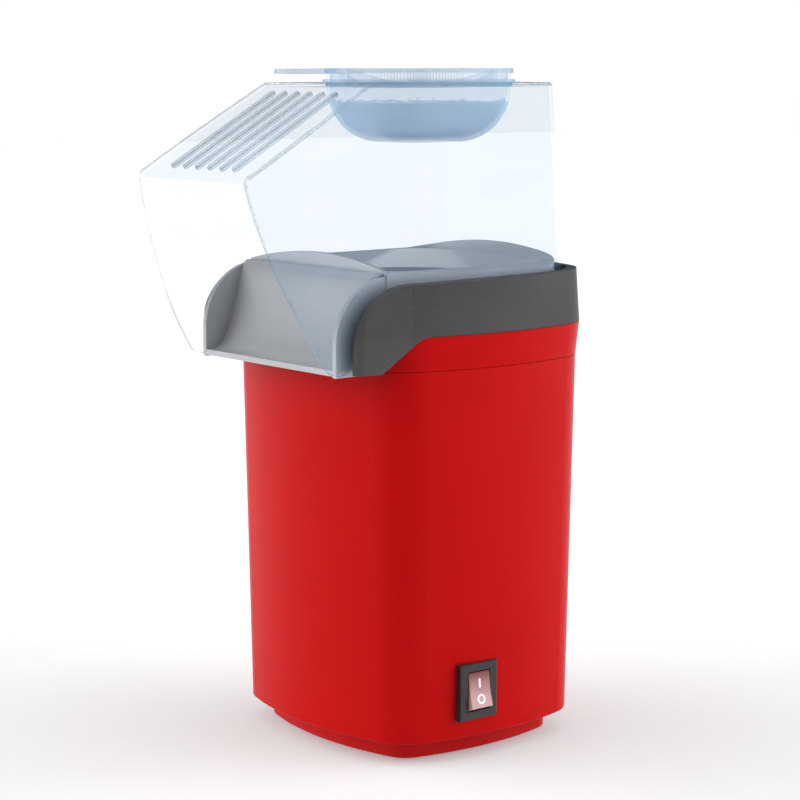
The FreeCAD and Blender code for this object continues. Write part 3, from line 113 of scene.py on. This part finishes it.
def mouldedPlastic(name, look):
    mat, tree, shader = newMaterial(name)
    coords = objectCoords(tree)
    cloud = noiseOn(tree, coords, look["cloudScale"], 3.0)
    grain = noiseOn(tree, coords, look["grainScale"], 5.0, 0.6)
    peel = noiseOn(tree, coords, look["peelScale"], 2.0)
    colour = mixColours(tree, spread(tree, cloud, 0.0, 1.0), rgba(look["dark"]), rgba(look["light"]))
    if look.get("speck"):
        fleck = spread(tree, grain, 0.0, 1.0, 0.60, 0.72)
        colour = mixColours(tree, fleck, colour, rgba(look["speck"]))
    tree.links.new(colour, shader.inputs["Base Color"])
    tree.links.new(spread(tree, grain, look["roughLow"], look["roughHigh"]), shader.inputs["Roughness"])
    shader.inputs["Metallic"].default_value = look.get("metallic", 0.0)
    shader.inputs["Coat Weight"].default_value = look.get("coat", 0.0)
    shader.inputs["Coat Roughness"].default_value = look.get("coatRough", 0.1)
    shader.inputs["Specular IOR Level"].default_value = look.get("specular", 0.5)
    bump = bumpFrom(tree, [(peel, 1.0), (grain, look["grainShare"])], look["bump"])
    tree.links.new(bump, shader.inputs["Normal"])
    return mat


redLook = {"dark": (0.37, 0.0008, 0.001), "light": (0.40, 0.0012, 0.0015), "cloudScale": 9.0, "grainScale": 900.0,
           "peelScale": 60.0, "roughLow": 0.30, "roughHigh": 0.36, "bump": 0.000012, "grainShare": 0.5,
           "coat": 0.0, "coatRough": 0.12, "specular": 0.06}
plinthLook = dict(redLook, dark=(0.36, 0.004, 0.005), light=(0.43, 0.007, 0.008), roughLow=0.34, roughHigh=0.42)
collarLook = {"dark": (0.028, 0.028, 0.029), "light": (0.038, 0.038, 0.040), "speck": (0.09, 0.09, 0.095),
              "cloudScale": 14.0, "grainScale": 1500.0, "peelScale": 420.0, "roughLow": 0.40, "roughHigh": 0.52,
              "bump": 0.00006, "grainShare": 0.9}
funnelLook = {"dark": (0.36, 0.37, 0.39), "light": (0.42, 0.43, 0.45), "cloudScale": 12.0, "grainScale": 1800.0,
              "peelScale": 240.0, "roughLow": 0.30, "roughHigh": 0.38, "bump": 0.00003, "grainShare": 0.6,
              "metallic": 0.5, "coat": 0.1, "coatRough": 0.15}
blackLook = {"dark": (0.010, 0.010, 0.011), "light": (0.018, 0.018, 0.019), "cloudScale": 40.0,
             "grainScale": 2200.0, "peelScale": 700.0, "roughLow": 0.30, "roughHigh": 0.40, "bump": 0.00003,
             "grainShare": 0.7}
markLook = dict(blackLook, dark=(0.78, 0.72, 0.70), light=(0.88, 0.83, 0.81))
rubberLook = dict(blackLook, dark=(0.018, 0.018, 0.018), light=(0.035, 0.035, 0.035), roughLow=0.62,
                  roughHigh=0.78, bump=0.00008)
micaLook = {"dark": (0.34, 0.27, 0.17), "light": (0.52, 0.44, 0.30), "speck": (0.66, 0.60, 0.48),
            "cloudScale": 90.0, "grainScale": 700.0, "peelScale": 300.0, "roughLow": 0.35, "roughHigh": 0.6,
            "bump": 0.00006, "grainShare": 0.8}
boardLook = dict(micaLook, dark=(0.30, 0.19, 0.07), light=(0.38, 0.25, 0.10), speck=(0.45, 0.32, 0.15))
sleeveLook = dict(rubberLook, dark=(0.55, 0.52, 0.47), light=(0.66, 0.63, 0.58), roughLow=0.45, roughHigh=0.6)


def clearPlastic(name, look):
    mat, tree, shader = newMaterial(name)
    coords = objectCoords(tree)
    wave = noiseOn(tree, coords, 26.0, 2.0)
    rub = noiseOn(tree, coords, 320.0, 4.0)
    colour = mixColours(tree, spread(tree, wave, 0.0, 1.0), rgba(look["dark"]), rgba(look["light"]))
    tree.links.new(colour, shader.inputs["Base Color"])
    tree.links.new(spread(tree, rub, look["roughLow"], look["roughHigh"]), shader.inputs["Roughness"])
    # a thin wall looks deeper where it turns away
    turned = addNode(tree, "ShaderNodeLayerWeight", {"Blend": 0.5}).outputs["Facing"]
    depth = spread(tree, turned, look["thin"], look["deep"], look["turnFrom"], look["turnTo"])
    tree.links.new(depth, shader.inputs["Alpha"])
    shader.inputs["Coat Weight"].default_value = look["coat"]
    shader.inputs["Coat Roughness"].default_value = 0.02
    tree.links.new(bumpFrom(tree, [(wave, 1.0)], 0.00003), shader.inputs["Normal"])
    return mat


coverLook = {"dark": (0.10, 0.30, 0.52), "light": (0.13, 0.34, 0.56), "roughLow": 0.04, "roughHigh": 0.09,
             "coat": 0.3, "thin": 0.065, "deep": 0.55, "turnFrom": 0.80, "turnTo": 0.99}
coverEdgeLook = {"dark": (0.10, 0.19, 0.28), "light": (0.15, 0.26, 0.36), "roughLow": 0.10, "roughHigh": 0.2,
                 "coat": 0.2, "thin": 0.45, "deep": 0.75, "turnFrom": 0.5, "turnTo": 1.0}
cupLook = dict(coverLook, dark=(0.16, 0.36, 0.58), light=(0.20, 0.41, 0.62), thin=0.085, deep=0.2)
cupEdgeLook = dict(coverEdgeLook, dark=(0.18, 0.31, 0.46), light=(0.24, 0.38, 0.54), thin=0.35)


def sheetMetal(name, look):
    mat, tree, shader = newMaterial(name)
    coords = objectCoords(tree)
    stretch = addNode(tree, "ShaderNodeMapping", {"Vector": coords, "Scale": look["stretch"]}).outputs["Vector"]
    streaks = noiseOn(tree, stretch, look["streakScale"], 4.0, 0.6)
    stain = noiseOn(tree, coords, look["stainScale"], 3.0)
    colour = mixColours(tree, spread(tree, stain, 0.0, 1.0), rgba(look["dark"]), rgba(look["light"]))
    tree.links.new(colour, shader.inputs["Base Color"])
    tree.links.new(spread(tree, streaks, look["roughLow"], look["roughHigh"]), shader.inputs["Roughness"])
    shader.inputs["Metallic"].default_value = 1.0
    tree.links.new(bumpFrom(tree, [(streaks, 1.0)], look["bump"]), shader.inputs["Normal"])
    return mat


steelLook = {"dark": (0.50, 0.50, 0.50), "light": (0.63, 0.63, 0.64), "stretch": (1.0, 1.0, 18.0),
             "streakScale": 160.0, "stainScale": 60.0, "roughLow": 0.22, "roughHigh": 0.36, "bump": 0.00002}
aluminiumLook = dict(steelLook, dark=(0.66, 0.66, 0.67), light=(0.78, 0.78, 0.79), stretch=(1.0, 1.0, 1.0),
                     streakScale=420.0, roughLow=0.30, roughHigh=0.44)
wireLook = dict(steelLook, dark=(0.24, 0.20, 0.18), light=(0.42, 0.38, 0.35), roughLow=0.35, roughHigh=0.55)
copperLook = dict(steelLook, dark=(0.58, 0.26, 0.14), light=(0.74, 0.40, 0.24), stretch=(1.0, 1.0, 1.0))
brassLook = dict(steelLook, dark=(0.62, 0.45, 0.18), light=(0.76, 0.58, 0.28), stretch=(1.0, 1.0, 1.0))
coreLook = dict(steelLook, dark=(0.16, 0.16, 0.16), light=(0.26, 0.26, 0.27), stretch=(1.0, 1.0, 60.0),
                roughLow=0.4, roughHigh=0.6)


def rockerPaintedLightAndShade(name):
    mat, tree, shader = newMaterial(name)
    coords = objectCoords(tree)
    cloud = noiseOn(tree, coords, 90.0, 3.0)
    grain = noiseOn(tree, coords, 1800.0, 3.0)
    height = addNode(tree, "ShaderNodeSeparateXYZ", {"Vector": coords}).outputs["Z"]
    low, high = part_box("switch_rocker")
    # painted light and shade: the rocker's lower, protruding end is painted pale as if lit, and it darkens towards
    # its pressed-in upper end as painted shade
    paintedShadeTowardTop = spread(tree, height, 0.0, 1.0, low.z + 0.3 * (high.z - low.z), high.z)
    pale = mixColours(tree, spread(tree, cloud, 0.0, 1.0), (0.50, 0.27, 0.27, 1), (0.58, 0.34, 0.34, 1))
    colour = mixColours(tree, paintedShadeTowardTop, pale, (0.16, 0.012, 0.012, 1))
    tree.links.new(colour, shader.inputs["Base Color"])
    tree.links.new(spread(tree, grain, 0.16, 0.26), shader.inputs["Roughness"])
    shader.inputs["Transmission Weight"].default_value = 0.15
    shader.inputs["Coat Weight"].default_value = 0.4
    tree.links.new(bumpFrom(tree, [(grain, 1.0)], 0.00002), shader.inputs["Normal"])
    return mat


finishes = {
    "red": mouldedPlastic("redShell", redLook),
    "plinth": mouldedPlastic("plinthRed", plinthLook),
    "collar": mouldedPlastic("collarGrain", collarLook),
    "funnel": mouldedPlastic("silverFunnel", funnelLook),
    "cover": clearPlastic("clearCover", coverLook),
    "coverEdge": clearPlastic("clearCoverEdge", coverEdgeLook),
    "cup": clearPlastic("clearCup", cupLook),
    "cupEdge": clearPlastic("clearCupEdge", cupEdgeLook),
    "mark": mouldedPlastic("whiteMark", markLook),
    "black": mouldedPlastic("switchBlack", blackLook),
    "rubber": mouldedPlastic("footRubber", rubberLook),
    "mica": mouldedPlastic("micaSheet", micaLook),
    "board": mouldedPlastic("paperBoard", boardLook),
    "sleeve": mouldedPlastic("leadSleeve", sleeveLook),
    "steel": sheetMetal("zincSteel", steelLook),
    "aluminium": sheetMetal("chamberAluminium", aluminiumLook),
    "wire": sheetMetal("heatingWire", wireLook),
    "copper": sheetMetal("copper", copperLook),
    "brass": sheetMetal("brass", brassLook),
    "core": sheetMetal("coreSteel", coreLook),
    "rocker": rockerPaintedLightAndShade("rockerRed"),
}

nodeFinish = {
    "housing_shell": "red", "upper_band": "red", "base_plate": "plinth", "collar": "collar",
    "funnel_chute": "funnel", "clear_cover": "cover", "measuring_cup": "cup", "rubber_feet": "rubber",
    "base_screws": "steel", "popping_chamber": "aluminium", "chamber_gasket": "rubber",
    "chamber_screws": "steel", "heat_shroud": "steel", "mica_liner": "mica", "heating_coil": "wire",
    "mica_plate_a": "mica", "mica_plate_b": "mica", "thermostat": "brass", "thermal_fuse": "copper",
    "fan_impeller": "black", "motor_shaft": "steel", "motor_armature": "core", "commutator": "copper",
    "motor_brushes": "rubber", "motor_can": "steel", "motor_magnets": "core", "motor_end_cap": "black",
    "motor_bushes": "brass", "motor_bracket": "steel", "bracket_grommets": "rubber",
    "bracket_screws": "steel", "motor_screws": "steel", "rectifier_board": "board",
    "rectifier_diodes": "black", "switch_housing": "black", "switch_rocker": "rocker",
    "switch_pin": "steel", "switch_terminals": "brass", "cord_gland": "rubber", "lead_wires": "sleeve",
}
for nodeName, finishName in nodeFinish.items():
    mesh = nodes[nodeName].data
    mesh.materials.clear()
    mesh.materials.append(finishes[finishName])
print("finishes on", len(nodeFinish), "parts")


# ---- clear cover and measuring cup ----

def linkPiece(name, mesh, body):
    piece = bpy.data.objects.new(name, mesh)
    scene.collection.objects.link(piece)
    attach(piece, body)
    return piece


def mergedCopy(nodeName, smoothAngle=0.6):
    bm = bmesh.new()
    bm.from_mesh(nodes[nodeName].data)
    bmesh.ops.remove_doubles(bm, verts=bm.verts, dist=1e-6)
    for face in bm.faces:
        face.smooth = True
    for edge in bm.edges:
        if len(edge.link_faces) == 2:
            edge.smooth = edge.calc_face_angle(0.0) < smoothAngle
    return bm


def clearShell(nodeName, pieceName, body, sheet, rim, wall):
    bm = mergedCopy(nodeName)
    bm.normal_update()
    skin = BVHTree.FromBMesh(bm)
    step = 1e-5
    for face in bm.faces:
        start = face.calc_center_median() - face.normal * step
        hit = skin.ray_cast(start, -face.normal)
        # a face with the wall's thickness behind it is sheet, the others are cut edges
        through = hit[3] if hit[0] is not None else 1.0
        face.material_index = 0 if through < edgeShare * wall else 1
    mesh = bpy.data.meshes.new(pieceName)
    bm.to_mesh(mesh)
    bm.free()
    mesh.materials.append(sheet)
    mesh.materials.append(rim)
    piece = linkPiece(pieceName, mesh, body)
    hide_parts(nodeName)
    return piece


coverWall = 0.0018
cupWall = 0.0015
edgeShare = 1.03
cover = clearShell("clear_cover", "coverShell", "cover", finishes["cover"], finishes["coverEdge"], coverWall)
cup = clearShell("measuring_cup", "cupShell", "cup", finishes["cup"], finishes["cupEdge"], cupWall)
print("clear pieces made")


# ---- marks on the rocker ----

markSizes = {"apart": 0.0034, "ringRadius": 0.0021, "ringWidth": 0.0008, "barLength": 0.0041, "barWidth": 0.0010,
             "proud": 0.00008, "turns": 40}


def layOnRocker(name, outline, hollow):
    low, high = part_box("switch_rocker")
    centreY = (low.y + high.y) / 2
    bm = mergedCopy("switch_rocker")
    skin = BVHTree.FromBMesh(bm)
    bm.free()

    def onFace(y, z):
        place, normal, index, far = skin.ray_cast(Vector((high.x + 0.01, centreY + y, z)), Vector((-1, 0, 0)))
        return place, place + Vector((markSizes["proud"], 0, 0))

    marks = bmesh.new()
    count = len(outline)
    rings = [outline] + ([hollow] if hollow else [])
    tops, feet = [], []
    for ring in rings:
        pairs = [onFace(y, z) for y, z in ring]
        feet.append([marks.verts.new(foot) for foot, top in pairs])
        tops.append([marks.verts.new(top) for foot, top in pairs])
    for i in range(count):
        k = (i + 1) % count
        marks.faces.new((tops[0][i], feet[0][i], feet[0][k], tops[0][k]))
        if hollow:
            marks.faces.new((tops[1][k], feet[1][k], feet[1][i], tops[1][i]))
            marks.faces.new((tops[0][i], tops[0][k], tops[1][k], tops[1][i]))
            marks.faces.new((feet[0][k], feet[0][i], feet[1][i], feet[1][k]))
    if not hollow:
        marks.faces.new(tops[0])
        marks.faces.new(feet[0][::-1])
    bmesh.ops.recalc_face_normals(marks, faces=marks.faces)
    mesh = bpy.data.meshes.new(name)
    marks.to_mesh(mesh)
    marks.free()
    mesh.materials.append(finishes["mark"])
    piece = linkPiece(name, mesh, "rocker")
    return piece


def circlePoints(radius, centreZ, count):
    angles = [2 * math.pi * i / count for i in range(count)]
    return [(radius * math.cos(a), centreZ + radius * math.sin(a)) for a in angles]


def barPoints(width, length, centreZ):
    radius = width / 2
    reach = length / 2 - radius
    points = []
    for i in range(13):
        a = math.pi * i / 12
        points.append((radius * math.cos(a), centreZ + reach + radius * math.sin(a)))
    for i in range(13):
        a = math.pi + math.pi * i / 12
        points.append((radius * math.cos(a), centreZ - reach + radius * math.sin(a)))
    return points


rockerLow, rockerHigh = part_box("switch_rocker")
rockerMid = (rockerLow.z + rockerHigh.z) / 2
offZ = rockerMid - markSizes["apart"]
onZ = rockerMid + markSizes["apart"]
ringOut = circlePoints(markSizes["ringRadius"], offZ, markSizes["turns"])
ringIn = circlePoints(markSizes["ringRadius"] - markSizes["ringWidth"], offZ, markSizes["turns"])
layOnRocker("offMark", ringOut, ringIn)
layOnRocker("onMark", barPoints(markSizes["barWidth"], markSizes["barLength"], onZ), None)
print("marks on the rocker")


# ---- floor, light and camera ----

stageSet = {"floorHalf": 6.0, "floorGlow": 0.27, "rearGlow": 0.42, "lens": 104.2, "azimuth": 51.09, "pitch": 8.48, "distance": 1.0378,
            "target": (-0.0021, 0.0227, 0.1479)}


def buildFloor():
    half = stageSet["floorHalf"]
    mesh = bpy.data.meshes.new("floor")
    corners = [(-half, -half, 0), (half, -half, 0), (half, half, 0), (-half, half, 0)]
    mesh.from_pydata(corners, [], [(0, 1, 2, 3)])
    floor = bpy.data.objects.new("floor", mesh)
    scene.collection.objects.link(floor)
    mat, tree, shader = newMaterial("paleFloor")
    coords = objectCoords(tree)
    cloud = noiseOn(tree, coords, 3.0)
    colour = mixColours(tree, spread(tree, cloud, 0.0, 1.0), (0.46, 0.46, 0.463, 1), (0.49, 0.49, 0.494, 1))
    tree.links.new(colour, shader.inputs["Base Color"])
    shader.inputs["Roughness"].default_value = 0.8
    shader.inputs["Emission Color"].default_value = (1, 1, 1, 1)
    # the floor glows towards the rear, so that it runs into the white background without a line
    place = addNode(tree, "ShaderNodeTexCoord").outputs["Object"]
    behind = addNode(tree, "ShaderNodeVectorMath", {0: place, 1: -towardCamera()}, operation="DOT_PRODUCT")
    glow = spread(tree, behind.outputs["Value"], stageSet["floorGlow"], stageSet["rearGlow"], 0.0, 0.5)
    tree.links.new(glow, shader.inputs["Emission Strength"])
    mesh.materials.append(mat)


skyLight = {"show": 1.0, "low": 0.05, "top": 0.9, "topFrom": 0.35, "topTo": 0.85,
            "side": 5.4, "sideFrom": 0.50, "sideTo": 0.95, "glossLow": 0.04, "glossTop": 1.1, "glossSide": 0.75,
            "glossSideFrom": 0.86, "glossSideTo": 0.98, "glossTopFrom": 0.55, "glossTopTo": 0.85}


def towardCamera():
    azimuth = math.radians(stageSet["azimuth"])
    pitch = math.radians(stageSet["pitch"])
    return Vector((math.sin(azimuth) * math.cos(pitch), -math.cos(azimuth) * math.cos(pitch), math.sin(pitch)))


def acrossView():
    azimuth = math.radians(stageSet["azimuth"])
    return Vector((math.cos(azimuth), math.sin(azimuth), 0))


def buildWorld():
    # two wide soft lights stand left and right of the object, a third hangs over it, and the side that
    # its front corner faces stays dim
    world = bpy.data.worlds.new("studio")
    world.use_nodes = True
    tree = world.node_tree
    back = tree.nodes["Background"]
    sky = skyLight
    way = addNode(tree, "ShaderNodeTexCoord").outputs["Generated"]
    across = addNode(tree, "ShaderNodeVectorMath", {0: way, 1: acrossView()}, operation="DOT_PRODUCT")
    sideways = addNode(tree, "ShaderNodeMath", {0: across.outputs["Value"]}, operation="ABSOLUTE").outputs[0]
    rise = addNode(tree, "ShaderNodeSeparateXYZ", {"Vector": way}).outputs["Z"]
    sides = spread(tree, sideways, sky["low"], sky["side"], sky["sideFrom"], sky["sideTo"])
    top = spread(tree, rise, 0.0, sky["top"], sky["topFrom"], sky["topTo"])
    soft = addNode(tree, "ShaderNodeMath", {0: sides, 1: top}, operation="ADD").outputs[0]
    glossSides = spread(tree, sideways, sky["glossLow"], sky["glossSide"], sky["glossSideFrom"], sky["glossSideTo"])
    glossTop = spread(tree, rise, 0.0, sky["glossTop"], sky["glossTopFrom"], sky["glossTopTo"])
    gloss = addNode(tree, "ShaderNodeMath", {0: glossSides, 1: glossTop}, operation="MAXIMUM").outputs[0]
    path = addNode(tree, "ShaderNodeLightPath")
    light = addNode(tree, "ShaderNodeMix", {0: path.outputs["Is Glossy Ray"], 2: soft, 3: gloss})
    seen = addNode(tree, "ShaderNodeMath", {0: path.outputs["Is Camera Ray"],
                                            1: path.outputs["Is Transmission Ray"]}, operation="MAXIMUM")
    final = addNode(tree, "ShaderNodeMix", {0: seen.outputs[0], 2: light.outputs[0], 3: sky["show"]})
    tree.links.new(final.outputs[0], back.inputs["Strength"])
    back.inputs["Color"].default_value = (1, 1, 1, 1)
    scene.world = world


def addPanel(name, place, aim, width, height, power, colour=(1, 1, 1)):
    light = bpy.data.lights.new(name, "AREA")
    light.shape = "RECTANGLE"
    light.size = width
    light.size_y = height
    light.energy = power
    light.color = colour
    panel = bpy.data.objects.new(name, light)
    panel.location = place
    panel.rotation_mode = "QUATERNION"
    panel.rotation_quaternion = (Vector(aim) - Vector(place)).to_track_quat("-Z", "Y")
    scene.collection.objects.link(panel)


def buildCamera():
    back = towardCamera()
    data = bpy.data.cameras.new("camera")
    data.lens = stageSet["lens"]
    data.sensor_width = 36.0
    camera = bpy.data.objects.new("camera", data)
    camera.location = Vector(stageSet["target"]) + back * stageSet["distance"]
    camera.rotation_mode = "QUATERNION"
    camera.rotation_quaternion = (-back).to_track_quat("-Z", "Y")
    scene.collection.objects.link(camera)
    scene.camera = camera


buildFloor()
buildWorld()
middle = (0, 0.02, 0.15)
addPanel("topPanel", (0.1, 0.3, 1.9), middle, 1.4, 1.4, 2)
buildCamera()
scene.view_settings.view_transform = "Standard"
print("stage ready")
